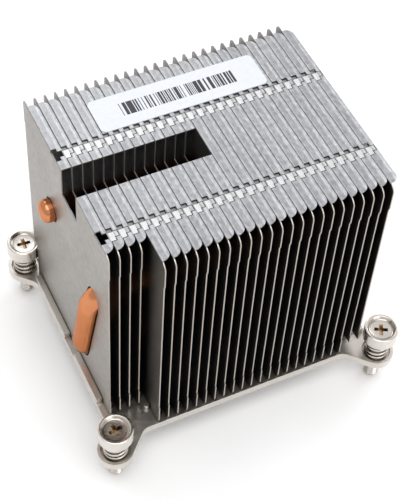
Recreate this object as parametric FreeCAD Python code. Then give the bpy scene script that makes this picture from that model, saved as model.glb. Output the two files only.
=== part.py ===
import FreeCAD, Part
import math
import os

# Processor heatsink: a stack of interlocked aluminium fins on a block with two heat pipes,
# held by a steel bracket with four sprung screws. Millimetres, +Z up, X across the fins.
# The origin is on the contact face, in the middle of the four screws.

# Fin stack
FIN_COUNT = 27
FIN_PITCH = 2.6
FIN_THICK = 0.3
FIN_HEIGHT = 65.2
FIN_DEPTH = 58.2
FLANGE_GAP = 0.05
FLANGE_CORNER = 1.9
FOLD_RADIUS = 0.25
SHEET_CORNER = 1.9
REAR_TIP_LENGTH = 2.6
REAR_TIP_CORNER = 1.2
REAR_OVERHANG = 0.6
EDGE_SETBACK = 0.3
SETBACK_LOW = 7.0
SETBACK_TOP = 7.6

# Short fins at the front left
SHORT_COUNT = 4
SHORT_FRONT_MARGIN = 1.4

# Interlocking tabs in two rows across the top
FRONT_TAB_Y = -16.2
REAR_TAB_Y = 10.15
TAB_SLOT_WIDTH = 3.8
TAB_SLOT_LENGTH = 1.35
TAB_STEM_WIDTH = 1.75
TAB_STEM_EDGE = 0.2
TAB_SLOT_DEPTH = 0.6
TONGUE_WIDTH = 2.4
TONGUE_GAP = 0.1
UNDER_TAB_THICK = 0.22
UNDER_TAB_GAP = 0.05

# Notch across the top of the left fins
NOTCH_COUNT = 13
NOTCH_FRONT_Y = -3.5
NOTCH_REAR_Y = 5.5
NOTCH_DEPTH = 8.7

# Corner cuts that clear the screw heads
HEAD_CUT_DEPTH = 2.3
HEAD_CUT_HEIGHT = 12.6
FOOT_CUT_DEPTH = 4.4
FOOT_CUT_HEIGHT = 4.4
FOOT_CUT_COUNT = 2

# Heat pipes
PIPE_RADIUS = 3.0
PIPE_BEND = 8.7
PIPE_UPPER_Y = -13.6
PIPE_UPPER_RISE = 42.3
PIPE_LOWER_Y = -4.3
PIPE_LEG_PROUD = 0.2
PIPE_HOLE_GAP = 0.03
PIPE_SLOT_GAP = 0.35
PIPE_GROOVE_GAP = 0.02
PIPE_END_INSET = 1.5
PIPE_END_LENGTH = 3.0
PIPE_END_ROUND = 1.8
SLOT_RELIEF_RADIUS = 0.7

# Base block and contact plate
CONTACT_WIDTH = 38.0
CONTACT_DEPTH = 38.0
CONTACT_THICK = 3.0
BLOCK_STEP_THICK = 5.0
BLOCK_STEP_MARGIN = 5.2
BLOCK_DEPTH = 42.0
BLOCK_FREE_FINS = 5
BLOCK_RISE = 5.8
BLOCK_GAP = 0.1

# Mounting bracket
PLATE_THICK = 2.2
PLATE_MARGIN = 1.7
RAIL_WIDTH = 1.6
RAIL_RISE = 1.8
RAIL_FRONT_Y = -17.5
RAIL_REAR_Y = 25.3
RAIL_GAP_FRONT_Y = -2.0
RAIL_GAP_REAR_Y = 4.4
PAD_RADIUS = 4.6
PAD_CUP_RADIUS = 3.75
PAD_CUP_DEPTH = 0.7
PAD_HOLE_GAP = 0.3
LUG_FILLET = 3.2

# Rivet through the bracket
RIVET_INSET_X = 3.4
RIVET_INSET_Y = 1.0
RIVET_RADIUS = 0.7
RIVET_RISE = 1.2
RIVET_SUNK = 2.0
RIVET_GAP = 0.02

# Sprung screws
SCREW_SPACING_X = 75.0
SCREW_SPACING_Y = 63.0
THREAD_RADIUS = 2.0
SHOULDER_RADIUS = 2.2
COLLAR_HEIGHT = 0.35
HEAD_RADIUS = 4.45
HEAD_HEIGHT = 3.9
HEAD_LIFT = 6.0
HEAD_EDGE = 0.3
DISH_RADIUS = 3.7
DISH_FLOOR_RADIUS = 2.95
DISH_DEPTH = 0.75
CROSS_SPAN = 3.5
CROSS_WIDTH = 0.95
CROSS_DEPTH = 1.3
TIP_LIFT = 0.3
TIP_CHAMFER = 0.5
SCREW_TURNS = {"front_left": 8.0, "front_right": 62.0, "rear_left": 85.0, "rear_right": 30.0}

# Springs and retaining clips
WIRE_RADIUS = 0.36
SPRING_RADIUS = 2.84
SPRING_TURNS = 3.5
CLIP_THICK = 0.5
CLIP_RADIUS = 3.2
CLIP_GROOVE_DEPTH = 0.6
CLIP_FIT = 0.05
CLIP_MOUTH = 2.6

# Label
LABEL_WIDTH = 43.4
LABEL_DEPTH = 10.5
LABEL_X = -0.3
LABEL_Y = 17.45
LABEL_THICK = 0.12
LABEL_CORNER = 1.4

# Worked out from the sizes above
PLATE_TOP = CONTACT_THICK + BLOCK_STEP_THICK + PLATE_THICK
PLATE_LOW = PLATE_TOP - PLATE_THICK
FIN_TOP = PLATE_TOP + FIN_HEIGHT
STACK_HALF = FIN_COUNT * FIN_PITCH / 2
FIN_FRONT_Y = -FIN_DEPTH / 2
FIN_REAR_Y = FIN_DEPTH / 2 + REAR_OVERHANG
FLANGE_LENGTH = FIN_PITCH - FLANGE_GAP
BLOCK_HALF = STACK_HALF - BLOCK_FREE_FINS * FIN_PITCH
BLOCK_TOP = PLATE_TOP + BLOCK_RISE
PLATE_HALF_X = STACK_HALF + PLATE_MARGIN
PLATE_HALF_Y = FIN_DEPTH / 2
RIVET_X = -BLOCK_HALF - RIVET_INSET_X
SHORT_FRONT_Y = -BLOCK_DEPTH / 2 - SHORT_FRONT_MARGIN
RIVET_Y = SHORT_FRONT_Y - RIVET_INSET_Y
PIPE_LEG_X = -STACK_HALF - PIPE_LEG_PROUD
PIPE_UPPER_Z = PLATE_TOP + PIPE_UPPER_RISE
HEAD_LOW = PLATE_TOP + HEAD_LIFT
HEAD_TOP = HEAD_LOW + HEAD_HEIGHT
CUP_FLOOR = PLATE_TOP - PAD_CUP_DEPTH
CLIP_GROOVE_RADIUS = SHOULDER_RADIUS - CLIP_GROOVE_DEPTH
CORNERS = {"front_left": (-1, -1), "front_right": (1, -1), "rear_left": (-1, 1), "rear_right": (1, 1)}
OVERRUN = 1.0
UP = FreeCAD.Vector(0, 0, 1)
ACROSS = FreeCAD.Vector(1, 0, 0)


def box(x_range, y_range, z_range):
    """A block between two values along each axis."""
    corner = FreeCAD.Vector(x_range[0], y_range[0], z_range[0])
    sizes = [ends[1] - ends[0] for ends in (x_range, y_range, z_range)]
    return Part.makeBox(*sizes, corner)


def post(x, y, z_range, radius):
    """An upright cylinder."""
    return Part.makeCylinder(radius, z_range[1] - z_range[0], FreeCAD.Vector(x, y, z_range[0]), UP)


def turned(shape, degrees, x=0.0, y=0.0):
    """A copy turned about the upright line through x, y."""
    copy = shape.copy()
    copy.rotate(FreeCAD.Vector(x, y, 0), UP, degrees)
    return copy


def edges_along(shape, axis, keep):
    """Straight edges parallel to an axis whose middle passes the test."""
    found = []
    for edge in shape.Edges:
        if not isinstance(edge.Curve, Part.Line):
            continue
        if abs(abs(edge.Curve.Direction.dot(axis)) - 1) < 1e-6 and keep(edge.CenterOfMass):
            found.append(edge)
    return found


def screw_place(corner):
    """X and Y of the screw in a corner."""
    side_x, side_y = CORNERS[corner]
    return side_x * SCREW_SPACING_X / 2, side_y * SCREW_SPACING_Y / 2


def pipe_line():
    """Centre line of the front pipe: upper run, leaning leg and lower run."""
    upper = FreeCAD.Vector(PIPE_LEG_X, PIPE_UPPER_Y, PIPE_UPPER_Z)
    lower = FreeCAD.Vector(PIPE_LEG_X, PIPE_LOWER_Y, BLOCK_TOP)
    down = (lower - upper).normalize()
    start = FreeCAD.Vector(STACK_HALF, PIPE_UPPER_Y, PIPE_UPPER_Z)
    end = FreeCAD.Vector(BLOCK_HALF - PIPE_END_INSET, PIPE_LOWER_Y, BLOCK_TOP)
    turn_in = upper + ACROSS * PIPE_BEND
    turn_out = lower + ACROSS * PIPE_BEND
    leg_top = upper + down * PIPE_BEND
    leg_low = lower - down * PIPE_BEND
    slant = PIPE_BEND * (1 - math.sqrt(0.5))
    upper_middle = upper + (ACROSS + down) * slant
    lower_middle = lower + (ACROSS - down) * slant
    return [
        Part.LineSegment(start, turn_in).toShape(),
        Part.Arc(turn_in, upper_middle, leg_top).toShape(),
        Part.LineSegment(leg_top, leg_low).toShape(),
        Part.Arc(leg_low, lower_middle, turn_out).toShape(),
        Part.LineSegment(turn_out, end).toShape(),
    ]


def pipe_solid(gap):
    """The front pipe with its round-edged upper end, grown by a gap all round."""
    radius = PIPE_RADIUS + gap
    edges = pipe_line()
    start = edges[0].Vertexes[0].Point
    end = edges[-1].Vertexes[-1].Point
    ring = Part.Wire([Part.Circle(start, ACROSS, radius).toShape()])
    tube = Part.Wire(edges).makePipeShell([ring], True, True)
    cap = Part.makeCylinder(radius, PIPE_END_LENGTH + gap, start, ACROSS)
    rim = [edge for edge in cap.Edges if edge.CenterOfMass.x > start.x + PIPE_END_LENGTH / 2 + gap]
    cap = cap.makeFillet(PIPE_END_ROUND, [edge for edge in rim if edge.Closed])
    solid = tube.fuse([cap, Part.makeSphere(radius, end)])
    return solid.removeSplitter()


def fin_left(index):
    """X of the left face of a fin, counted from 0 at the left."""
    return -STACK_HALF + index * FIN_PITCH


def meets_bend(index):
    """Whether a fin is beside the bends of either pipe."""
    reach = fin_left(index) - PIPE_LEG_X
    far_reach = -PIPE_LEG_X - fin_left(index) - FIN_THICK
    return min(reach, far_reach) < PIPE_BEND


def fold_corner(x, z, y_range, height):
    """What the outer radius of a fold takes off its square edge."""
    inner = z - height * FOLD_RADIUS
    block = box((x, x + FOLD_RADIUS), y_range, sorted((z, inner)))
    axis_start = FreeCAD.Vector(x + FOLD_RADIUS, y_range[0], inner)
    length = y_range[1] - y_range[0]
    return block.cut(Part.makeCylinder(FOLD_RADIUS, length, axis_start, FreeCAD.Vector(0, 1, 0)))


def is_rear_tip(middle):
    """Whether an edge is the upper rear corner of a sheet."""
    return middle.y > FIN_REAR_Y - FIN_THICK and middle.z > FIN_TOP - FIN_THICK


def fin_sheet(x, front_y):
    """The upright sheet of a fin with its rounded corners and set-back edges."""
    sheet = box((x, x + FIN_THICK), (front_y, FIN_REAR_Y), (PLATE_TOP, FIN_TOP))
    plain_corners = edges_along(sheet, ACROSS, lambda middle: not is_rear_tip(middle))
    sheet = sheet.makeFillet(SHEET_CORNER, plain_corners)
    sheet = sheet.makeFillet(REAR_TIP_CORNER, edges_along(sheet, ACROSS, is_rear_tip))
    span = (PLATE_TOP + SETBACK_LOW, FIN_TOP - SETBACK_TOP)
    thick = (x - OVERRUN, x + FIN_THICK + OVERRUN)
    front_cut = box(thick, (front_y - OVERRUN, front_y + EDGE_SETBACK), span)
    rear_cut = box(thick, (FIN_REAR_Y - EDGE_SETBACK, FIN_REAR_Y + OVERRUN), span)
    return sheet.cut([front_cut, rear_cut])


def fin_flange(x, y_range, z_range):
    """A folded edge with rounded free corners."""
    flange = box((x, x + FLANGE_LENGTH), y_range, z_range)
    free = edges_along(flange, UP, lambda middle: middle.x > x + FLANGE_LENGTH / 2)
    return flange.makeFillet(FLANGE_CORNER, free)


def tab_cuts(x):
    """The two T-shaped slots in a top flange."""
    z_range = (FIN_TOP - TAB_SLOT_DEPTH, FIN_TOP + OVERRUN)
    cuts = []
    for y in (FRONT_TAB_Y, REAR_TAB_Y):
        bar_y = (y - TAB_SLOT_WIDTH / 2, y + TAB_SLOT_WIDTH / 2)
        stem_y = (y - TAB_STEM_WIDTH / 2, y + TAB_STEM_WIDTH / 2)
        cuts.append(box((x - OVERRUN, x + TAB_SLOT_LENGTH), bar_y, z_range))
        cuts.append(box((x, x + FLANGE_LENGTH - TAB_STEM_EDGE), stem_y, z_range))
    return cuts


def tongues(x):
    """The flush tongues in the next fin's slots, and the lower tabs beneath them."""
    edge = x + FLANGE_LENGTH - TAB_STEM_EDGE
    flush = (FIN_TOP - FIN_THICK, FIN_TOP)
    under = (FIN_TOP - FIN_THICK - UNDER_TAB_THICK, FIN_TOP - FIN_THICK)
    half_stem = TAB_STEM_WIDTH / 2 - TONGUE_GAP
    half_under = TAB_SLOT_WIDTH / 2 - UNDER_TAB_GAP
    bar_end = x + FIN_PITCH + TAB_SLOT_LENGTH - TONGUE_GAP
    stem_end = x + FIN_PITCH + FLANGE_LENGTH - TAB_STEM_EDGE - TONGUE_GAP
    shapes = []
    for y in (FRONT_TAB_Y, REAR_TAB_Y):
        front = y - TAB_SLOT_WIDTH / 2 + TONGUE_GAP
        shapes.append(box((edge, bar_end), (front, front + TONGUE_WIDTH), flush))
        shapes.append(box((bar_end - TONGUE_GAP, stem_end), (y - half_stem, y + half_stem), flush))
        shapes.append(box((edge + UNDER_TAB_GAP, stem_end), (y - half_under, y + half_under), under))
    return shapes


def corner_cuts(index):
    """Corner cuts that keep the end fins clear of the screws."""
    x = fin_left(index)
    wide = (x - OVERRUN, x + FIN_PITCH)
    cuts = []
    if index == 0:
        deep = (FIN_REAR_Y - HEAD_CUT_DEPTH, FIN_REAR_Y + OVERRUN)
        cuts.append(box(wide, deep, (PLATE_TOP - OVERRUN, PLATE_TOP + HEAD_CUT_HEIGHT)))
    if index >= FIN_COUNT - FOOT_CUT_COUNT:
        deep = (FIN_FRONT_Y - OVERRUN, FIN_FRONT_Y + FOOT_CUT_DEPTH)
        cuts.append(box(wide, deep, (PLATE_TOP - OVERRUN, PLATE_TOP + FOOT_CUT_HEIGHT)))
    return cuts


def fin(index, round_hole, wide_slot):
    """One folded fin with its tabs, notch and pipe openings."""
    x = fin_left(index)
    front_y = SHORT_FRONT_Y if index < SHORT_COUNT else FIN_FRONT_Y
    flange_y = (front_y + SHEET_CORNER, FIN_REAR_Y - REAR_TIP_LENGTH)
    low_flange = fin_flange(x, flange_y, (PLATE_TOP, PLATE_TOP + FIN_THICK))
    top_flange = fin_flange(x, flange_y, (FIN_TOP - FIN_THICK, FIN_TOP))
    body = fin_sheet(x, front_y).fuse([low_flange, top_flange])
    whole_y = (front_y - OVERRUN, FIN_REAR_Y + OVERRUN)
    cuts = [fold_corner(x, FIN_TOP, whole_y, 1), fold_corner(x, PLATE_TOP, whole_y, -1)]
    cuts += tab_cuts(x) + corner_cuts(index)
    reach = (x - OVERRUN, x + FIN_PITCH)
    if index < NOTCH_COUNT:
        cuts.append(box(reach, (NOTCH_FRONT_Y, NOTCH_REAR_Y), (FIN_TOP - NOTCH_DEPTH, FIN_TOP + OVERRUN)))
    if BLOCK_FREE_FINS <= index < FIN_COUNT - BLOCK_FREE_FINS:
        block_y = BLOCK_DEPTH / 2 + BLOCK_GAP
        cuts.append(box(reach, (-block_y, block_y), (PLATE_TOP - OVERRUN, BLOCK_TOP)))
    cuts += wide_slot if meets_bend(index) else round_hole
    body = body.cut(cuts)
    if index < FIN_COUNT - 1:
        body = body.fuse(tongues(x))
    return body.removeSplitter()


def pipe_openings(pipe):
    """A pipe-shaped cutter for each pipe."""
    return [pipe, turned(pipe, 180)]


def slot_relief():
    """A small round relief at the top of the slot that the pipe's leg leaves by."""
    outer = PIPE_BEND + PIPE_RADIUS
    rise = math.sqrt(outer ** 2 - (PIPE_BEND - PIPE_LEG_PROUD) ** 2)
    down = FreeCAD.Vector(0, PIPE_LOWER_Y - PIPE_UPPER_Y, BLOCK_TOP - PIPE_UPPER_Z).normalize()
    drop = PIPE_BEND - rise
    start = FreeCAD.Vector(-STACK_HALF - OVERRUN, PIPE_UPPER_Y, PIPE_UPPER_Z) + down * drop
    return Part.makeCylinder(SLOT_RELIEF_RADIUS, OVERRUN + FIN_THICK, start, ACROSS)


def fins():
    """All fins by name."""
    round_hole = pipe_openings(pipe_solid(PIPE_HOLE_GAP))
    slot = pipe_openings(pipe_solid(PIPE_SLOT_GAP))
    relief = slot_relief()
    wide_slot = slot + pipe_openings(relief)
    names = {}
    for index in range(FIN_COUNT):
        names[f"fin_{index + 1:02d}"] = fin(index, round_hole, wide_slot)
    return names


def base_block():
    """The stepped block that carries the lower runs of both pipes."""
    step_x = BLOCK_HALF + BLOCK_STEP_MARGIN
    step_y = BLOCK_DEPTH / 2 + BLOCK_STEP_MARGIN
    half_y = BLOCK_DEPTH / 2
    step = box((-step_x, step_x), (-step_y, step_y), (CONTACT_THICK, PLATE_LOW))
    riser = box((-BLOCK_HALF, BLOCK_HALF), (-half_y, half_y), (PLATE_LOW, BLOCK_TOP))
    cuts = pipe_openings(pipe_solid(PIPE_GROOVE_GAP))
    rivet_hole = (PLATE_LOW - RIVET_SUNK, PLATE_LOW + OVERRUN)
    cuts.append(post(RIVET_X, RIVET_Y, rivet_hole, RIVET_RADIUS + RIVET_GAP))
    return step.fuse(riser).cut(cuts).removeSplitter()


def contact_plate():
    """The copper plate that rests on the processor."""
    half_x = CONTACT_WIDTH / 2
    half_y = CONTACT_DEPTH / 2
    return box((-half_x, half_x), (-half_y, half_y), (0, CONTACT_THICK))


def lug(corner):
    """A diagonal lug with a round pad under one screw."""
    x, y = screw_place(corner)
    side_x, side_y = CORNERS[corner]
    z_range = (PLATE_LOW, PLATE_TOP)
    reach = x * side_x - BLOCK_HALF
    neck = box((x - reach, x), (y - PAD_RADIUS, y + PAD_RADIUS), z_range)
    angle = math.degrees(math.atan2(side_y, side_x))
    return post(x, y, z_range, PAD_RADIUS).fuse(turned(neck, angle, x, y))


def rails():
    """Low rails along both sides, each with a gap beside the pipe's bend."""
    outer = -PLATE_HALF_X
    spans = ((RAIL_FRONT_Y, RAIL_GAP_FRONT_Y), (RAIL_GAP_REAR_Y, RAIL_REAR_Y))
    z_range = (PLATE_TOP - PLATE_THICK / 2, PLATE_TOP + RAIL_RISE)
    left = [box((outer, outer + RAIL_WIDTH), span, z_range) for span in spans]
    return left + [turned(rail, 180) for rail in left]


def mounting_bracket():
    """The steel plate with a window, side rails and four lugs."""
    z_range = (PLATE_LOW, PLATE_TOP)
    plate = box((-PLATE_HALF_X, PLATE_HALF_X), (-PLATE_HALF_Y, PLATE_HALF_Y), z_range)
    plate = plate.fuse([lug(corner) for corner in CORNERS]).removeSplitter()
    inside = PAD_RADIUS * math.sqrt(0.5)

    def concave(middle):
        on_side = abs(abs(middle.x) - PLATE_HALF_X) < 0.01 and abs(middle.y) < PLATE_HALF_Y - 0.01
        on_front = abs(abs(middle.y) - PLATE_HALF_Y) < 0.01 and abs(middle.x) < PLATE_HALF_X - inside
        return on_side or on_front

    plate = plate.makeFillet(LUG_FILLET, edges_along(plate, UP, concave))
    window_x = BLOCK_HALF + BLOCK_GAP
    window_y = BLOCK_DEPTH / 2 + BLOCK_GAP
    through = (PLATE_LOW - OVERRUN, PLATE_TOP + OVERRUN)
    cuts = [box((-window_x, window_x), (-window_y, window_y), through)]
    cuts.append(post(RIVET_X, RIVET_Y, through, RIVET_RADIUS + RIVET_GAP))
    for corner in CORNERS:
        x, y = screw_place(corner)
        cuts.append(post(x, y, through, SHOULDER_RADIUS + PAD_HOLE_GAP))
        cuts.append(post(x, y, (CUP_FLOOR, PLATE_TOP + OVERRUN), PAD_CUP_RADIUS))
    return plate.fuse(rails()).cut(cuts).removeSplitter()


def bracket_rivet():
    """The rivet between the bracket and the block."""
    return post(RIVET_X, RIVET_Y, (PLATE_LOW - RIVET_SUNK, PLATE_TOP + RIVET_RISE), RIVET_RADIUS)


def screw(corner):
    """A shoulder screw with a dished cross head and a groove for its clip."""
    groove_top = PLATE_LOW
    groove_low = groove_top - CLIP_THICK - CLIP_FIT
    outline = [
        (0, HEAD_TOP - DISH_DEPTH),
        (DISH_FLOOR_RADIUS, HEAD_TOP - DISH_DEPTH),
        (DISH_RADIUS - HEAD_EDGE / 2, HEAD_TOP - HEAD_EDGE / 2),
        (DISH_RADIUS, HEAD_TOP),
        (HEAD_RADIUS - HEAD_EDGE, HEAD_TOP),
        (HEAD_RADIUS, HEAD_TOP - HEAD_EDGE),
        (HEAD_RADIUS, HEAD_LOW + HEAD_EDGE),
        (HEAD_RADIUS - HEAD_EDGE, HEAD_LOW),
        (SHOULDER_RADIUS, HEAD_LOW),
        (SHOULDER_RADIUS, groove_top),
        (CLIP_GROOVE_RADIUS, groove_top),
        (CLIP_GROOVE_RADIUS, groove_low),
        (SHOULDER_RADIUS, groove_low),
        (SHOULDER_RADIUS, groove_low - COLLAR_HEIGHT),
        (THREAD_RADIUS, groove_low - COLLAR_HEIGHT),
        (THREAD_RADIUS, TIP_LIFT + TIP_CHAMFER),
        (THREAD_RADIUS - TIP_CHAMFER, TIP_LIFT),
        (0, TIP_LIFT),
    ]
    x, y = screw_place(corner)
    points = [FreeCAD.Vector(radius, 0, z) for radius, z in outline]
    face = Part.Face(Part.makePolygon(points + points[:1]))
    solid = face.revolve(FreeCAD.Vector(0, 0, 0), UP, 360)
    floor = HEAD_TOP - DISH_DEPTH
    long_side = (-CROSS_SPAN / 2, CROSS_SPAN / 2)
    short_side = (-CROSS_WIDTH / 2, CROSS_WIDTH / 2)
    depth = (floor - CROSS_DEPTH, HEAD_TOP + OVERRUN)
    solid = solid.cut([box(long_side, short_side, depth), box(short_side, long_side, depth)])
    solid = turned(solid, SCREW_TURNS[corner])
    solid.translate(FreeCAD.Vector(x, y, 0))
    return solid


def spring(corner):
    """A coil spring between the pad's cup and the head, with flat ground ends."""
    x, y = screw_place(corner)
    height = HEAD_LOW - CUP_FLOOR
    coil = Part.makeHelix(height / SPRING_TURNS, height, SPRING_RADIUS)
    tangent = FreeCAD.Vector(0, 2 * math.pi * SPRING_RADIUS, height / SPRING_TURNS)
    ring = Part.Wire([Part.Circle(FreeCAD.Vector(SPRING_RADIUS, 0, 0), tangent, WIRE_RADIUS).toShape()])
    solid = Part.Wire(coil).makePipeShell([ring], True, True)
    solid.translate(FreeCAD.Vector(x, y, CUP_FLOOR))
    return solid.common(post(x, y, (CUP_FLOOR, HEAD_LOW), HEAD_RADIUS))


def clip(corner):
    """A ring with an open mouth, held in the screw's groove under the lug."""
    x, y = screw_place(corner)
    z_range = (PLATE_LOW - CLIP_THICK, PLATE_LOW)
    through = (z_range[0] - OVERRUN, z_range[1] + OVERRUN)
    bore = post(x, y, through, CLIP_GROOVE_RADIUS + CLIP_FIT)
    half_mouth = CLIP_MOUTH / 2
    mouth = box((x - half_mouth, x + half_mouth), (y, y + CLIP_RADIUS + OVERRUN), through)
    return post(x, y, z_range, CLIP_RADIUS).cut([bore, mouth])


def label():
    """The sticker on top of the fins."""
    x_range = (LABEL_X - LABEL_WIDTH / 2, LABEL_X + LABEL_WIDTH / 2)
    y_range = (LABEL_Y - LABEL_DEPTH / 2, LABEL_Y + LABEL_DEPTH / 2)
    sheet = box(x_range, y_range, (FIN_TOP, FIN_TOP + LABEL_THICK))
    return sheet.makeFillet(LABEL_CORNER, edges_along(sheet, UP, lambda middle: True))


def heatsink():
    """Every piece by its node name."""
    pipe = pipe_solid(0)
    pieces = {
        "contact_plate": contact_plate(),
        "base_block": base_block(),
        "mounting_bracket": mounting_bracket(),
        "bracket_rivet": bracket_rivet(),
        "heat_pipe_front": pipe,
        "heat_pipe_rear": turned(pipe, 180),
        "label": label(),
    }
    pieces.update(fins())
    for corner in CORNERS:
        pieces[f"screw_{corner}"] = screw(corner)
        pieces[f"spring_{corner}"] = spring(corner)
        pieces[f"clip_{corner}"] = clip(corner)
    return pieces


os.makedirs("parts", exist_ok=True)
for name, piece in heatsink().items():
    piece.exportStep(os.path.join("parts", name + ".step"))
    print(f"{name}: {len(piece.Solids)} solid, valid {piece.isValid()}, {piece.Volume:.1f} mm3")
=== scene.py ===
import math

import bpy
import bmesh
from mathutils import Matrix, Vector


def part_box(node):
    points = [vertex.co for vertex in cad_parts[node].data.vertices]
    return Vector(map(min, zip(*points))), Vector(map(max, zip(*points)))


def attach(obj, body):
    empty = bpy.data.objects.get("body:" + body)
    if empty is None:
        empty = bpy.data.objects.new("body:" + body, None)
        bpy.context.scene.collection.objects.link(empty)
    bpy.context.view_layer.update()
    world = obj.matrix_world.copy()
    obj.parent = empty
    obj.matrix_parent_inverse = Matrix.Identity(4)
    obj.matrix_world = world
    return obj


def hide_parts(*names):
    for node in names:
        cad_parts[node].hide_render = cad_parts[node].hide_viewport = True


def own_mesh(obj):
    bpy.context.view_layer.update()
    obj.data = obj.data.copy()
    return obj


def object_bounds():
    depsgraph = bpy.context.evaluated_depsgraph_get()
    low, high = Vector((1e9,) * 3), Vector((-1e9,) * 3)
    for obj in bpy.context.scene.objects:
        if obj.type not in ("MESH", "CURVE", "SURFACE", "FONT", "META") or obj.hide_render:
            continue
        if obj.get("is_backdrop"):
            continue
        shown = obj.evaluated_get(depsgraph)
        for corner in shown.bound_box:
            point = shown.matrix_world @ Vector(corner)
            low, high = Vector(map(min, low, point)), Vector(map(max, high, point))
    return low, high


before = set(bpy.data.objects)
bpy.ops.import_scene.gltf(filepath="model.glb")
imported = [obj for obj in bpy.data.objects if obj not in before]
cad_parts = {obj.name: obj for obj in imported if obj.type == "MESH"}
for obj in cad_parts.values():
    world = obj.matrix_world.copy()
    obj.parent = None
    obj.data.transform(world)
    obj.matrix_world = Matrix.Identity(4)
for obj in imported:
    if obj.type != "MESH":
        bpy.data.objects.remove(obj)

# The looks of a processor heatsink, built round its solids. Metres, +Z up.

MM = 0.001
CORNERS = ("front_left", "front_right", "rear_left", "rear_right")
FIN_NODES = sorted(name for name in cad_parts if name.startswith("fin_"))
FIRST_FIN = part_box(FIN_NODES[0])
SECOND_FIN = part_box(FIN_NODES[1])
FIN_PITCH = SECOND_FIN[0].x - FIRST_FIN[0].x
FIN_TOP = FIRST_FIN[1].z

# Camera, fitted to the photograph's edges
CAMERA_PLACE = Vector((-102.5, -186.5, 306.6)) * MM
CAMERA_TILT = 51.95
CAMERA_TURN = -28.64
CAMERA_ROLL = 4.34
CAMERA_LENS = 97.2

# Tab rows across the fins
FRONT_TAB_Y = -16.2 * MM
REAR_TAB_Y = 10.15 * MM
TAB_BAR_END = 1.3 * MM
TAB_BAR_HALF = 1.85 * MM
TAB_STEM_END = 2.3 * MM
TAB_STEM_HALF = 0.83 * MM
TONGUE_MIDDLE = -0.6 * MM
TONGUE_HALF = 1.25 * MM
LINE_HALF = 0.1 * MM

# Screws
SCREW_SIDES = 72
HEAD_HEIGHT = 3.9 * MM
HEAD_EDGE = 0.34 * MM
SHANK_RADIUS = 1.98 * MM
SHOULDER_RADIUS = 2.18 * MM
COLLAR_HEIGHT = 0.4 * MM
GROOVE_RADIUS = 1.6 * MM
DISH_RADIUS = 3.65 * MM
DISH_FLOOR = 2.9 * MM
DISH_DEPTH = 0.75 * MM
CROSS_SPAN = 3.7 * MM
CROSS_WIDTH = 1.0 * MM
CROSS_DEPTH = 1.5 * MM
CROSS_TAPER = 0.5
CROSS_FLARE = 1.08
CROSS_OVERSHOOT = 0.4 * MM
THREAD_PITCH = 0.7 * MM
THREAD_DEPTH = 0.34 * MM
THREAD_ROWS = 8
THREAD_FLATNESS = 1.25
THREAD_END_GAP = 0.4 * MM
TIP_HEIGHT = 0.5 * MM
TIP_NARROWING = 0.55 * MM
GROOVE_PLAY = 0.04 * MM
DISH_LIP = 0.2 * MM
MARK_MARGIN = 0.12 * MM
CORNER_STEPS = 5
CROSS_TURNS = {"front_left": 8.0, "front_right": 62.0, "rear_left": 85.0, "rear_right": 30.0}

# Springs
WIRE_RADIUS = 0.36 * MM
WIRE_SPACING = 1.02
COIL_TURNS = 4.3
END_TURNS = 0.8
WIRE_SIDES = 16
STEPS_PER_TURN = 40

# Bar strip on the sticker
BAR_WIDTH = 0.21 * MM
BAR_SHARE = 0.52
STRIP_LENGTH = 29.6 * MM
STRIP_WIDTH = 4.1 * MM

# Heat pipes
PIPE_RADIUS = 3.0 * MM
PIPE_BEND = 8.7 * MM
PIPE_SIDES = 64
BEND_STEPS = 28
END_ROUND = 1.8 * MM
END_STEPS = 10
BLOCK_REACH = 0.75

# Surroundings
FLOOR_HALF = 3.0
FLOOR_GAP = 0.02 * MM
LIGHT_TARGET = Vector((0, 0, 0.03))
WORLD_STRENGTH = 0.78


def nodes_of(material):
    return material.node_tree.nodes


def link(material, source, target):
    material.node_tree.links.new(source, target)


def node(material, kind, **values):
    """A new shader node with its named inputs or settings filled in."""
    made = nodes_of(material).new(kind)
    for key, value in values.items():
        if hasattr(made, key):
            setattr(made, key, value)
        else:
            made.inputs[key.replace("_", " ")].default_value = value
    return made


def new_material(name, metallic, colour):
    """A material with its principled shader, ready for detail."""
    material = bpy.data.materials.new(name)
    material.use_nodes = True
    shader = nodes_of(material)["Principled BSDF"]
    shader.inputs["Metallic"].default_value = metallic
    shader.inputs["Base Color"].default_value = (*colour, 1)
    return material, shader


def scaled_place(material, scale):
    """Object coordinates stretched by a scale along each axis."""
    place = node(material, "ShaderNodeTexCoord")
    mapping = node(material, "ShaderNodeMapping")
    mapping.inputs["Scale"].default_value = scale
    link(material, place.outputs["Object"], mapping.inputs["Vector"])
    return mapping.outputs["Vector"]


def noise(material, scale, detail=4.0, roughness=0.55):
    """Noise with its own scale along each axis, in repeats a metre."""
    texture = node(material, "ShaderNodeTexNoise", Scale=1.0, Detail=detail, Roughness=roughness)
    link(material, scaled_place(material, scale), texture.inputs["Vector"])
    return texture.outputs["Fac"]


def ramp(material, source, stops):
    """A colour ramp driven by a value."""
    made = node(material, "ShaderNodeValToRGB")
    while len(made.color_ramp.elements) < len(stops):
        made.color_ramp.elements.new(0.5)
    for element, (place, colour) in zip(made.color_ramp.elements, stops):
        element.position = place
        element.color = (*colour, 1)
    link(material, source, made.inputs["Fac"])
    return made.outputs["Color"]


def spread(material, source, low, high, start=0.3, end=0.7):
    """A value carried from one range to another."""
    made = node(material, "ShaderNodeMapRange")
    for key, value in (("From Min", start), ("From Max", end), ("To Min", low), ("To Max", high)):
        made.inputs[key].default_value = value
    link(material, source, made.inputs["Value"])
    return made.outputs["Result"]


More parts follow.
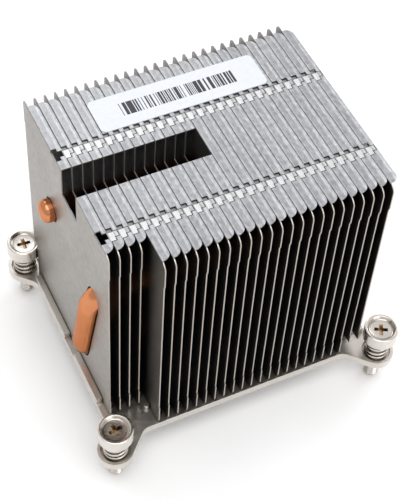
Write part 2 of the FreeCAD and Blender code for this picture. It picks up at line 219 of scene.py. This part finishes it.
def bumped(material, shader, source, distance, strength=1.0, edge=0.0):
    """Bump from a height value over an optional rounded edge."""
    bump = node(material, "ShaderNodeBump", Strength=strength, Distance=distance)
    link(material, source, bump.inputs["Height"])
    if edge:
        bevel = node(material, "ShaderNodeBevel", samples=4, Radius=edge)
        link(material, bevel.outputs["Normal"], bump.inputs["Normal"])
    link(material, bump.outputs["Normal"], shader.inputs["Normal"])


def maths(material, operation, first, second=0.0):
    """A math node fed by values or sockets."""
    made = node(material, "ShaderNodeMath", operation=operation)
    for socket, value in zip(made.inputs, (first, second)):
        if isinstance(value, (int, float)):
            socket.default_value = value
        else:
            link(material, value, socket)
    return made.outputs[0]


def near(material, value, centre, half):
    """1 where a value is within half of a centre, else 0."""
    distance = maths(material, "ABSOLUTE", maths(material, "SUBTRACT", value, centre))
    return maths(material, "LESS_THAN", distance, half)


def mixed(material, share, first, second, blend="MIX"):
    """Two colours, fixed or linked, mixed by a share."""
    made = node(material, "ShaderNodeMix", data_type="RGBA", blend_type=blend)
    for socket, value in ((made.inputs["Factor"], share), (made.inputs[6], first), (made.inputs[7], second)):
        if isinstance(value, (int, float)):
            socket.default_value = value
        elif isinstance(value, tuple):
            socket.default_value = (*value, 1)
        else:
            link(material, value, socket)
    return made.outputs[2]


def object_axes(material):
    """X, Y and Z of the point in the object's own frame."""
    place = node(material, "ShaderNodeTexCoord")
    split = node(material, "ShaderNodeSeparateXYZ")
    link(material, place.outputs["Object"], split.inputs["Vector"])
    return split.outputs


def shaded_by_depth(material, colour, reach, dark):
    """Darkens a colour in narrow gaps: painted shade where little light comes back."""
    open_sky = node(material, "ShaderNodeAmbientOcclusion", samples=8, Distance=reach)
    shade = ramp(material, open_sky.outputs["AO"], [(0.12, dark), (0.80, (1, 1, 1))])
    return mixed(material, 1.0, colour, shade, "MULTIPLY")


def both(material, *masks):
    """1 where every mask is 1."""
    product = masks[0]
    for mask in masks[1:]:
        product = maths(material, "MULTIPLY", product, mask)
    return product


def in_tab(material, across, along, grow):
    """1 inside the T shape of a tab slot grown by a margin, else 0."""
    off_middle = maths(material, "ABSOLUTE", along)
    shapes = []
    for reach, half in ((TAB_BAR_END, TAB_BAR_HALF), (TAB_STEM_END, TAB_STEM_HALF)):
        shapes.append(both(material, maths(material, "LESS_THAN", across, reach + grow),
                           maths(material, "LESS_THAN", off_middle, half + grow)))
    return maths(material, "MAXIMUM", *shapes)


def tab_marks(material, colour, axes, across, top_facing):
    """Painted highlight on the tongues, painted shade in the slots and dark outlines along both rows of tabs.
    """
    behind = maths(material, "GREATER_THAN", axes["Y"], (FRONT_TAB_Y + REAR_TAB_Y) / 2)
    row = maths(material, "ADD", maths(material, "MULTIPLY", behind, REAR_TAB_Y - FRONT_TAB_Y), FRONT_TAB_Y)
    along = maths(material, "SUBTRACT", axes["Y"], row)
    flush = maths(material, "GREATER_THAN", axes["Z"], FIN_TOP - LINE_HALF)
    upper = both(material, top_facing, maths(material, "GREATER_THAN", axes["Z"], FIN_TOP - MM))
    inside = both(material, in_tab(material, across, along, 0.0), upper)
    tongue = both(material, maths(material, "LESS_THAN", across, TAB_BAR_END),
                  near(material, along, TONGUE_MIDDLE, TONGUE_HALF), flush, upper)
    sunk = both(material, inside, maths(material, "SUBTRACT", 1.0, flush))
    line = both(material, maths(material, "SUBTRACT", in_tab(material, across, along, LINE_HALF),
                                in_tab(material, across, along, -LINE_HALF)), upper)
    # Painted highlight: the tongues lighter than the rest of the top.
    colour = mixed(material, both(material, tongue, 0.7), colour, (0.86, 0.86, 0.86))
    # Painted shade: dark grey in the sunk part of each slot.
    colour = mixed(material, both(material, sunk, 0.55), colour, (0.16, 0.16, 0.165))
    return mixed(material, both(material, line, 0.8), colour, (0.05, 0.045, 0.04))


def fin_aluminium():
    """Rolled sheet: crowned folds, faint rolling lines, soft smudges and a satin gloss, with a painted
    highlight band across the folds and painted shade on the sheet sides and in the gaps.
    """
    material, shader = new_material("fin_aluminium", 1.0, (0.72, 0.71, 0.69))
    axes = object_axes(material)
    pitch_place = maths(material, "DIVIDE", maths(material, "SUBTRACT", axes["X"], FIRST_FIN[0].x), FIN_PITCH)
    share = maths(material, "FRACT", pitch_place)
    across = maths(material, "MULTIPLY", share, FIN_PITCH)
    mottle = noise(material, (1300, 700, 900), 5.0, 0.66)
    cloud = noise(material, (150, 60, 90), 3.0, 0.5)
    folds = ramp(material, mottle, [
        (0.30, (0.40, 0.405, 0.42)),
        (0.50, (0.52, 0.525, 0.54)),
        (0.70, (0.64, 0.645, 0.66)),
    ])
    tarnish = ramp(material, cloud, [(0.3, (0.88, 0.88, 0.89)), (0.7, (1, 1, 1))])
    folds = mixed(material, 1.0, folds, tarnish, "MULTIPLY")
    # Across each fin pitch: dark joint lines at both ends, and a painted highlight band with painted shade
    # beside it across the fold's crown.
    joints_and_painted_highlight = ramp(material, share, [
        (0.03, (0.68, 0.67, 0.66)),
        (0.09, (1.00, 1.00, 1.00)),
        (0.22, (0.84, 0.84, 0.85)),
        (0.55, (0.82, 0.82, 0.83)),
        (0.72, (1.25, 1.25, 1.25)),
        (0.86, (1.05, 1.05, 1.05)),
        (0.94, (0.92, 0.92, 0.92)),
        (0.98, (0.74, 0.73, 0.72)),
    ])
    folds = mixed(material, 1.0, folds, joints_and_painted_highlight, "MULTIPLY")
    # Painted shade: the flat sheet sides get a darker, warmer colour than the folded tops.
    sheet_sides_painted_shade = ramp(material, cloud, [(0.30, (0.29, 0.27, 0.25)), (0.70, (0.335, 0.315, 0.295))])
    surface = node(material, "ShaderNodeNewGeometry")
    facing = node(material, "ShaderNodeSeparateXYZ")
    link(material, surface.outputs["True Normal"], facing.inputs["Vector"])
    top_facing = maths(material, "GREATER_THAN", facing.outputs["Z"], 0.8)
    flat_side = maths(material, "GREATER_THAN", maths(material, "ABSOLUTE", facing.outputs["X"]), 0.8)
    sawn_edge = maths(material, "GREATER_THAN", maths(material, "ABSOLUTE", facing.outputs["Y"]), 0.3)
    colour = tab_marks(material, folds, axes, across, top_facing)
    # Painted shade on the flat sheet sides.
    colour = mixed(material, flat_side, colour, sheet_sides_painted_shade)
    colour = mixed(material, sawn_edge, colour, (0.50, 0.46, 0.41))
    # Painted shade: near black in the narrow gaps between the fins.
    colour = shaded_by_depth(material, colour, 5 * MM, (0.035, 0.027, 0.02))
    link(material, colour, shader.inputs["Base Color"])
    lines = noise(material, (2600, 60, 900), 3.0, 0.6)
    link(material, spread(material, mottle, 0.30, 0.48), shader.inputs["Roughness"])
    crown = maths(material, "SUBTRACT", maths(material, "MULTIPLY", share, 2.0), 1.0)
    fall = maths(material, "POWER", maths(material, "ABSOLUTE", crown), 2.0)
    height = maths(material, "SUBTRACT", 1.0, fall)
    edge = node(material, "ShaderNodeBevel", samples=4, Radius=0.08 * MM)
    crowned = node(material, "ShaderNodeBump", Strength=0.7, Distance=0.11 * MM)
    link(material, edge.outputs["Normal"], crowned.inputs["Normal"])
    link(material, height, crowned.inputs["Height"])
    ruled = node(material, "ShaderNodeBump", Strength=0.5, Distance=0.02 * MM)
    link(material, crowned.outputs["Normal"], ruled.inputs["Normal"])
    link(material, lines, ruled.inputs["Height"])
    link(material, ruled.outputs["Normal"], shader.inputs["Normal"])
    return material


def block_aluminium():
    """Sawn and milled block with cutter lines."""
    material, shader = new_material("block_aluminium", 1.0, (0.62, 0.62, 0.61))
    lines = noise(material, (90, 3000, 900), 3.0)
    link(material, ramp(material, lines, [(0.35, (0.5, 0.5, 0.49)), (0.65, (0.66, 0.66, 0.65))]),
         shader.inputs["Base Color"])
    link(material, spread(material, lines, 0.28, 0.5), shader.inputs["Roughness"])
    bumped(material, shader, lines, 0.02 * MM, 0.7, 0.15 * MM)
    return material


def copper(name, dark, light, gloss):
    """Drawn copper with a light uneven tarnish and painted shade in narrow gaps."""
    material, shader = new_material(name, 1.0, light)
    tarnish = noise(material, (90, 90, 45), 5.0, 0.55)
    middle = tuple((a + b) / 2 for a, b in zip(dark, light))
    colour = ramp(material, tarnish, [(0.30, dark), (0.52, middle), (0.70, light)])
    # Painted shade: darker brown where the copper sits in narrow gaps.
    link(material, shaded_by_depth(material, colour, 4 * MM, (0.30, 0.20, 0.15)), shader.inputs["Base Color"])
    shader.inputs["Specular Tint"].default_value = (0.86, 0.62, 0.50, 1)
    lines = noise(material, (700, 700, 90), 3.0)
    link(material, spread(material, lines, gloss, gloss + 0.10), shader.inputs["Roughness"])
    bumped(material, shader, lines, 0.006 * MM, 0.5, 0.1 * MM)
    return material


def head_marks(material, colour):
    """A dark ring round the dish of each screw head and a brown-gold recess in its middle."""
    axes = object_axes(material)
    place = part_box("screw_rear_right")
    middle = (place[0] + place[1]) / 2
    offsets = [maths(material, "SUBTRACT", maths(material, "ABSOLUTE", axes[key]), centre)
               for key, centre in (("X", middle.x), ("Y", middle.y))]
    squares = [maths(material, "MULTIPLY", offset, offset) for offset in offsets]
    radius = maths(material, "SQRT", maths(material, "ADD", *squares))
    top = place[1].z
    recess_top = top - DISH_DEPTH - MARK_MARGIN
    in_head = maths(material, "GREATER_THAN", axes["Z"], recess_top)
    ring = both(material, in_head, near(material, radius, DISH_FLOOR + 0.25 * MM, 0.38 * MM))
    colour = mixed(material, both(material, ring, 0.55), colour, (0.22, 0.18, 0.14))
    sunk = both(material, maths(material, "LESS_THAN", axes["Z"], recess_top),
                maths(material, "GREATER_THAN", axes["Z"], top - HEAD_HEIGHT + 0.3 * MM),
                maths(material, "LESS_THAN", radius, CROSS_SPAN * 0.6))
    return mixed(material, both(material, sunk, 0.9), colour, (0.66, 0.50, 0.31))


def nickel(name, colour, gloss, grain, edge, reach, marks=None):
    """Nickel plate with faint grain and a little unevenness, with brown painted shade where it is tucked
    away.
    """
    material, shader = new_material(name, 1.0, colour)
    patches = noise(material, (260, 260, 260), 5.0, 0.6)
    darker = tuple(value * 0.90 for value in colour)
    plated = ramp(material, patches, [(0.3, darker), (0.65, colour)])
    if marks:
        plated = marks(material, plated)
    # Painted shade: brown where the plate, screws and springs are tucked away.
    plated = shaded_by_depth(material, plated, reach, (0.32, 0.25, 0.18))
    link(material, plated, shader.inputs["Base Color"])
    fine = noise(material, (grain, grain, grain), 3.0)
    link(material, spread(material, fine, gloss, gloss + 0.12), shader.inputs["Roughness"])
    bumped(material, shader, fine, 0.0015 * MM, 0.3, edge)
    return material


def paper():
    """White sticker with a plain bar strip that spells nothing."""
    material, shader = new_material("label_paper", 0.0, (0.9, 0.9, 0.9))
    low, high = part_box("label")
    middle = (low + high) / 2
    axes = object_axes(material)
    across = maths(material, "FLOOR", maths(material, "DIVIDE", axes["X"], BAR_WIDTH))
    bars = node(material, "ShaderNodeTexWhiteNoise", noise_dimensions="1D")
    link(material, across, bars.inputs["W"])
    dark = maths(material, "LESS_THAN", bars.outputs["Value"], BAR_SHARE)
    strip = maths(material, "MULTIPLY", near(material, axes["X"], middle.x, STRIP_LENGTH / 2),
                  near(material, axes["Y"], middle.y, STRIP_WIDTH / 2))
    print_mask = maths(material, "MULTIPLY", dark, strip)
    fibres = noise(material, (900, 900, 900), 4.0)
    white = ramp(material, fibres, [(0.3, (0.65, 0.67, 0.73)), (0.7, (0.71, 0.73, 0.79))])
    link(material, mixed(material, print_mask, white, (0.03, 0.03, 0.035)), shader.inputs["Base Color"])
    link(material, spread(material, fibres, 0.34, 0.5), shader.inputs["Roughness"])
    bumped(material, shader, fibres, 0.01 * MM, 0.4)
    return material


def floor_paint():
    """Pale matte floor with the faintest grain."""
    material, shader = new_material("floor_paint", 0.0, (0.96, 0.96, 0.96))
    grain = noise(material, (30, 30, 30), 4.0)
    link(material, ramp(material, grain, [(0.3, (0.95, 0.95, 0.955)), (0.7, (0.97, 0.97, 0.97))]),
         shader.inputs["Base Color"])
    link(material, spread(material, grain, 0.7, 0.8), shader.inputs["Roughness"])
    return material


def new_piece(name, mesh, body, material, replaced=(), sharp=40):
    """An object that rides on a body and stands for its solids."""
    piece = bpy.data.objects.new(name, mesh)
    bpy.context.scene.collection.objects.link(piece)
    mesh.materials.append(material)
    for face in mesh.polygons:
        face.use_smooth = True
    mesh.set_sharp_from_angle(angle=math.radians(sharp))
    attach(piece, body)
    if replaced:
        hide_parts(*replaced)
    return piece


def skin(name, rings):
    """A closed mesh through rings of points, each ring the same count."""
    mesh = bpy.data.meshes.new(name)
    count = len(rings[0])
    points = [point for ring in rings for point in ring]
    faces = []
    for row in range(len(rings) - 1):
        for column in range(count):
            following = (column + 1) % count
            low = row * count
            high = low + count
            faces.append((low + column, low + following, high + following, high + column))
    faces.append(tuple(range(count - 1, -1, -1)))
    faces.append(tuple(range((len(rings) - 1) * count, len(rings) * count)))
    mesh.from_pydata([tuple(point) for point in points], [], faces)
    mesh.update()
    return mesh


def tube(name, path, radii, sides):
    """A round tube along a path, with a radius for each point."""
    tangents = []
    for index in range(len(path)):
        before = path[max(index - 1, 0)]
        after = path[min(index + 1, len(path) - 1)]
        tangents.append((after - before).normalized())
    side = tangents[0].orthogonal().normalized()
    rings = []
    for index, (point, radius) in enumerate(zip(path, radii)):
        if index:
            side = tangents[index - 1].rotation_difference(tangents[index]) @ side
        other = tangents[index].cross(side)
        ring = []
        for step in range(sides):
            angle = 2 * math.pi * step / sides
            ring.append(point + (side * math.cos(angle) + other * math.sin(angle)) * radius)
        rings.append(ring)
    return skin(name, rings)


def middle_of(name):
    low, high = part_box(name)
    return (low + high) / 2


def thread_ring(centre, z, start):
    """One ring of a thread: its radius follows a helix."""
    ring = []
    for step in range(SCREW_SIDES):
        turn = step / SCREW_SIDES
        phase = ((z - start) / THREAD_PITCH - turn) % 1.0
        crest = 1 - abs(2 * phase - 1)
        radius = SHANK_RADIUS - THREAD_DEPTH * (1 - min(1.0, crest * THREAD_FLATNESS))
        angle = turn * 2 * math.pi
        ring.append(Vector((centre.x + radius * math.cos(angle), centre.y + radius * math.sin(angle), z)))
    return ring


def plain_ring(centre, z, radius):
    """One plain ring of a turned piece."""
    ring = []
    for step in range(SCREW_SIDES):
        angle = 2 * math.pi * step / SCREW_SIDES
        ring.append(Vector((centre.x + radius * math.cos(angle), centre.y + radius * math.sin(angle), z)))
    return ring


def rounded(radius, z, size, start, end):
    """Radius and height pairs round a corner arc."""
    pairs = []
    for step in range(CORNER_STEPS + 1):
        angle = math.radians(start + (end - start) * step / CORNER_STEPS)
        pairs.append((radius + size * math.cos(angle), z + size * math.sin(angle)))
    return pairs


def screw_rings(corner):
    """All rings of a screw from its tip to the bottom of its dish."""
    low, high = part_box(f"screw_{corner}")
    clip_low, clip_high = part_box(f"clip_{corner}")
    centre = middle_of(f"screw_{corner}")
    radius = (high.x - low.x) / 2
    head_low = high.z - HEAD_HEIGHT
    collar_low = clip_low.z - COLLAR_HEIGHT
    groove_low = clip_low.z - GROOVE_PLAY
    dish_floor = high.z - DISH_DEPTH
    thread_low = low.z + TIP_HEIGHT
    thread_top = collar_low - THREAD_END_GAP
    rings = [plain_ring(centre, low.z, SHANK_RADIUS - TIP_NARROWING)]
    rows = int((thread_top - thread_low) / THREAD_PITCH * THREAD_ROWS)
    for row in range(rows + 1):
        rings.append(thread_ring(centre, thread_low + (thread_top - thread_low) * row / rows, thread_low))
    pairs = [
        (SHANK_RADIUS, thread_top + 0.15 * MM),
        (SHANK_RADIUS, collar_low),
        (SHOULDER_RADIUS, collar_low),
        (SHOULDER_RADIUS, groove_low),
        (GROOVE_RADIUS, groove_low),
        (GROOVE_RADIUS, clip_high.z),
        (SHOULDER_RADIUS, clip_high.z),
        (SHOULDER_RADIUS, head_low),
    ]
    pairs += rounded(radius - HEAD_EDGE, head_low + HEAD_EDGE, HEAD_EDGE, -90, 0)
    pairs += rounded(radius - HEAD_EDGE, high.z - HEAD_EDGE, HEAD_EDGE, 0, 90)
    pairs += rounded(DISH_RADIUS + DISH_LIP, high.z - DISH_LIP, DISH_LIP, 90, 180)
    pairs += [
        (DISH_FLOOR + 0.3 * MM, dish_floor + 0.08 * MM),
        (DISH_FLOOR, dish_floor),
        (DISH_FLOOR * 0.5, dish_floor + 0.02 * MM),
        (0.05 * MM, dish_floor + 0.03 * MM),
    ]
    return rings + [plain_ring(centre, z, r) for r, z in pairs]


def cross_cutter(corner):
    """A tapered cross that cuts the driver's recess."""
    centre = middle_of(f"screw_{corner}")
    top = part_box(f"screw_{corner}")[1].z
    floor = top - DISH_DEPTH
    work = bmesh.new()
    for quarter in range(2):
        spin = math.radians(CROSS_TURNS[corner] + 90 * quarter)
        rings = []
        for z, share in ((floor - CROSS_DEPTH, CROSS_TAPER), (floor + CROSS_OVERSHOOT, CROSS_FLARE)):
            half_long = CROSS_SPAN / 2 * share
            half_wide = CROSS_WIDTH / 2 * (0.7 + 0.3 * share)
            corners = ((-1, -1), (1, -1), (1, 1), (-1, 1))
            ring = []
            for a, b in corners:
                x = a * half_long
                y = b * half_wide
                ring.append(work.verts.new((
                    centre.x + x * math.cos(spin) - y * math.sin(spin),
                    centre.y + x * math.sin(spin) + y * math.cos(spin), z)))
            rings.append(ring)
        for step in range(4):
            following = (step + 1) % 4
            work.faces.new((rings[0][step], rings[0][following], rings[1][following], rings[1][step]))
        work.faces.new(list(reversed(rings[0])))
        work.faces.new(rings[1])
    mesh = bpy.data.meshes.new(f"cross_{corner}")
    work.to_mesh(mesh)
    work.free()
    return mesh


def cut_by(mesh, cutter_mesh):
    """A mesh with another one cut out of it."""
    body = bpy.data.objects.new("cut_body", mesh)
    cutter = bpy.data.objects.new("cut_tool", cutter_mesh)
    for thing in (body, cutter):
        bpy.context.scene.collection.objects.link(thing)
    change = body.modifiers.new("cut", "BOOLEAN")
    change.operation = "DIFFERENCE"
    change.solver = "EXACT"
    change.use_self = True
    change.object = cutter
    graph = bpy.context.evaluated_depsgraph_get()
    result = bpy.data.meshes.new_from_object(body.evaluated_get(graph))
    for thing in (body, cutter):
        bpy.data.objects.remove(thing)
    return result


def add_screws(material):
    """Four screws with real threads and a cross recess."""
    for corner in CORNERS:
        blank = skin(f"screw_blank_{corner}", screw_rings(corner))
        mesh = cut_by(blank, cross_cutter(corner))
        name = f"screw_{corner}"
        new_piece(f"turned_{name}", mesh, name, material, (name,), 34)


def coil_height(share, low, high):
    """Height along a spring: flat end turns and an even middle."""
    end = END_TURNS / COIL_TURNS
    wire = 2 * WIRE_RADIUS * WIRE_SPACING
    rise = wire * END_TURNS
    if share < end:
        return low + rise * share / end
    if share > 1 - end:
        return high - rise * (1 - share) / end
    return low + rise + (high - low - 2 * rise) * (share - end) / (1 - 2 * end)


def add_springs(material):
    """Four coil springs with closed ends."""
    for corner in CORNERS:
        name = f"spring_{corner}"
        low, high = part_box(name)
        centre = middle_of(name)
        radius = (high.x - low.x) / 2 - WIRE_RADIUS
        steps = int(COIL_TURNS * STEPS_PER_TURN)
        path = []
        for step in range(steps + 1):
            angle = 2 * math.pi * COIL_TURNS * step / steps
            z = coil_height(step / steps, low.z + WIRE_RADIUS, high.z - WIRE_RADIUS)
            path.append(Vector((centre.x + radius * math.cos(angle), centre.y + radius * math.sin(angle), z)))
        mesh = tube(f"coil_{corner}", path, [WIRE_RADIUS] * len(path), WIRE_SIDES)
        piece = new_piece(f"coil_{name}", mesh, "heatsink", material, (name,))
        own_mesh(piece)


def arc(start, corner, end, steps):
    """Points round a right-angled corner, from one tangent point to the other."""
    middle = start + end - corner
    first = start - middle
    second = end - middle
    points = []
    for step in range(1, steps + 1):
        angle = math.pi / 2 * step / steps
        points.append(middle + first * math.cos(angle) + second * math.sin(angle))
    return points


def pipe_path(name, turn):
    """Centre line and radii of a pipe, from its round-edged end to its end in the block."""
    low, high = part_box(name)
    spin = Matrix.Rotation(turn, 4, "Z")
    corners = [spin @ low, spin @ high]
    low = Vector([min(point[axis] for point in corners) for axis in range(3)])
    high = Vector([max(point[axis] for point in corners) for axis in range(3)])
    leg_x = low.x + PIPE_RADIUS
    upper = Vector((leg_x, low.y + PIPE_RADIUS, high.z - PIPE_RADIUS))
    lower = Vector((leg_x, high.y - PIPE_RADIUS, low.z + PIPE_RADIUS))
    down = (lower - upper).normalized()
    across = Vector((1, 0, 0))
    end_face = Vector((high.x, upper.y, upper.z))
    far_end = Vector((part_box("base_block")[1].x * BLOCK_REACH, lower.y, lower.z))
    path = []
    radii = []
    for step in range(END_STEPS):
        angle = math.pi / 2 * step / END_STEPS
        path.append(end_face - across * END_ROUND * (1 - math.cos(angle)))
        radii.append(PIPE_RADIUS - END_ROUND * (1 - math.sin(angle)))
    straight = [end_face - across * END_ROUND, upper + across * PIPE_BEND]
    first_bend = arc(straight[1], upper, upper + down * PIPE_BEND, BEND_STEPS)
    leg = [lower - down * PIPE_BEND]
    second_bend = arc(leg[0], lower, lower + across * PIPE_BEND, BEND_STEPS)
    rest = straight + first_bend + leg + second_bend + [far_end]
    path += rest
    radii += [PIPE_RADIUS] * len(rest)
    back = Matrix.Rotation(-turn, 4, "Z")
    return [back @ point for point in path], radii


def add_pipes(material):
    """Both heat pipes as smooth tubes along their own centre lines."""
    for name, turn in (("heat_pipe_front", 0.0), ("heat_pipe_rear", math.pi)):
        path, radii = pipe_path(name, turn)
        mesh = tube(f"tube_{name}", path, radii, PIPE_SIDES)
        new_piece(f"drawn_{name}", mesh, "heatsink", material, (name,), 60)


def dress(names, material):
    """Gives the solids that stay their material."""
    for name in names:
        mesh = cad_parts[name].data
        mesh.materials.clear()
        mesh.materials.append(material)


def add_floor(material):
    """The floor that the object stands on."""
    mesh = bpy.data.meshes.new("floor")
    corners = [(x * FLOOR_HALF, y * FLOOR_HALF, 0) for x, y in ((-1, -1), (1, -1), (1, 1), (-1, 1))]
    mesh.from_pydata(corners, [], [(0, 1, 2, 3)])
    mesh.materials.append(material)
    floor = bpy.data.objects.new("floor", mesh)
    bpy.context.scene.collection.objects.link(floor)
    floor.location.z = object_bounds()[0][2] - FLOOR_GAP
    floor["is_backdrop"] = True


def add_light(name, place, size, power):
    """A square soft box aimed at the object."""
    light = bpy.data.lights.new(name, "AREA")
    light.shape = "SQUARE"
    light.size = size
    light.energy = power
    lamp = bpy.data.objects.new(name, light)
    lamp.location = place
    aim = LIGHT_TARGET - Vector(place)
    lamp.rotation_euler = aim.to_track_quat("-Z", "Y").to_euler()
    bpy.context.scene.collection.objects.link(lamp)


def add_lights():
    """Soft studio light: an even pale surround and four soft boxes."""
    world = bpy.data.worlds.new("studio")
    world.use_nodes = True
    background = world.node_tree.nodes["Background"]
    background.inputs["Color"].default_value = (1, 1, 1, 1)
    background.inputs["Strength"].default_value = WORLD_STRENGTH
    bpy.context.scene.world = world
    add_light("overhead_box", (-0.1, -0.25, 1.4), size=1.1, power=8)
    add_light("rear_box", (0.15, 1.1, 0.85), size=0.5, power=2.2)
    add_light("right_box", (1.05, 0.45, 0.8), size=0.5, power=2.5)
    add_light("front_box", (0.3, -1.1, 0.75), size=0.8, power=3)


def add_camera():
    """The camera at the photograph's place."""
    turn = math.radians(CAMERA_TURN)
    tilt = math.radians(CAMERA_TILT)
    roll = math.radians(CAMERA_ROLL)
    back = Vector((math.sin(turn) * math.cos(tilt), -math.cos(turn) * math.cos(tilt), math.sin(tilt)))
    level = (-back).cross(Vector((0, 0, 1))).normalized()
    upright = level.cross(-back)
    right = level * math.cos(roll) + upright * math.sin(roll)
    top = upright * math.cos(roll) - level * math.sin(roll)
    camera = bpy.data.cameras.new("camera")
    camera.lens = CAMERA_LENS
    camera.sensor_width = 36
    camera.clip_start = 0.01
    holder = bpy.data.objects.new("camera", camera)
    holder.matrix_world = Matrix((
        (right.x, top.x, back.x, CAMERA_PLACE.x),
        (right.y, top.y, back.y, CAMERA_PLACE.y),
        (right.z, top.z, back.z, CAMERA_PLACE.z),
        (0, 0, 0, 1)))
    bpy.context.scene.collection.objects.link(holder)
    bpy.context.scene.camera = holder


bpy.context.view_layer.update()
bpy.context.scene.view_settings.view_transform = "Standard"

fin_metal = fin_aluminium()
block_metal = block_aluminium()
plate_nickel = nickel("plate_nickel", (0.70, 0.66, 0.61), gloss=0.28, grain=900, edge=0.2 * MM,
                      reach=1.0 * MM)
screw_nickel = nickel("screw_nickel", (0.74, 0.70, 0.65), gloss=0.16, grain=1800, edge=0.0,
                      reach=1.3 * MM, marks=head_marks)
spring_wire = nickel("spring_wire", (0.66, 0.62, 0.57), gloss=0.14, grain=2500, edge=0.0, reach=2.2 * MM)
pipe_copper = copper("pipe_copper", dark=(0.50, 0.185, 0.08), light=(0.72, 0.31, 0.155), gloss=0.14)
plate_copper = copper("plate_copper", dark=(0.60, 0.28, 0.17), light=(0.80, 0.44, 0.29), gloss=0.30)

dress(FIN_NODES, fin_metal)
dress(["base_block"], block_metal)
dress(["contact_plate"], plate_copper)
dress(["mounting_bracket", "bracket_rivet"], plate_nickel)
dress([f"clip_{corner}" for corner in CORNERS], spring_wire)
dress(["label"], paper())
add_screws(screw_nickel)
add_springs(spring_wire)
add_pipes(pipe_copper)
add_floor(floor_paint())
add_lights()
add_camera()
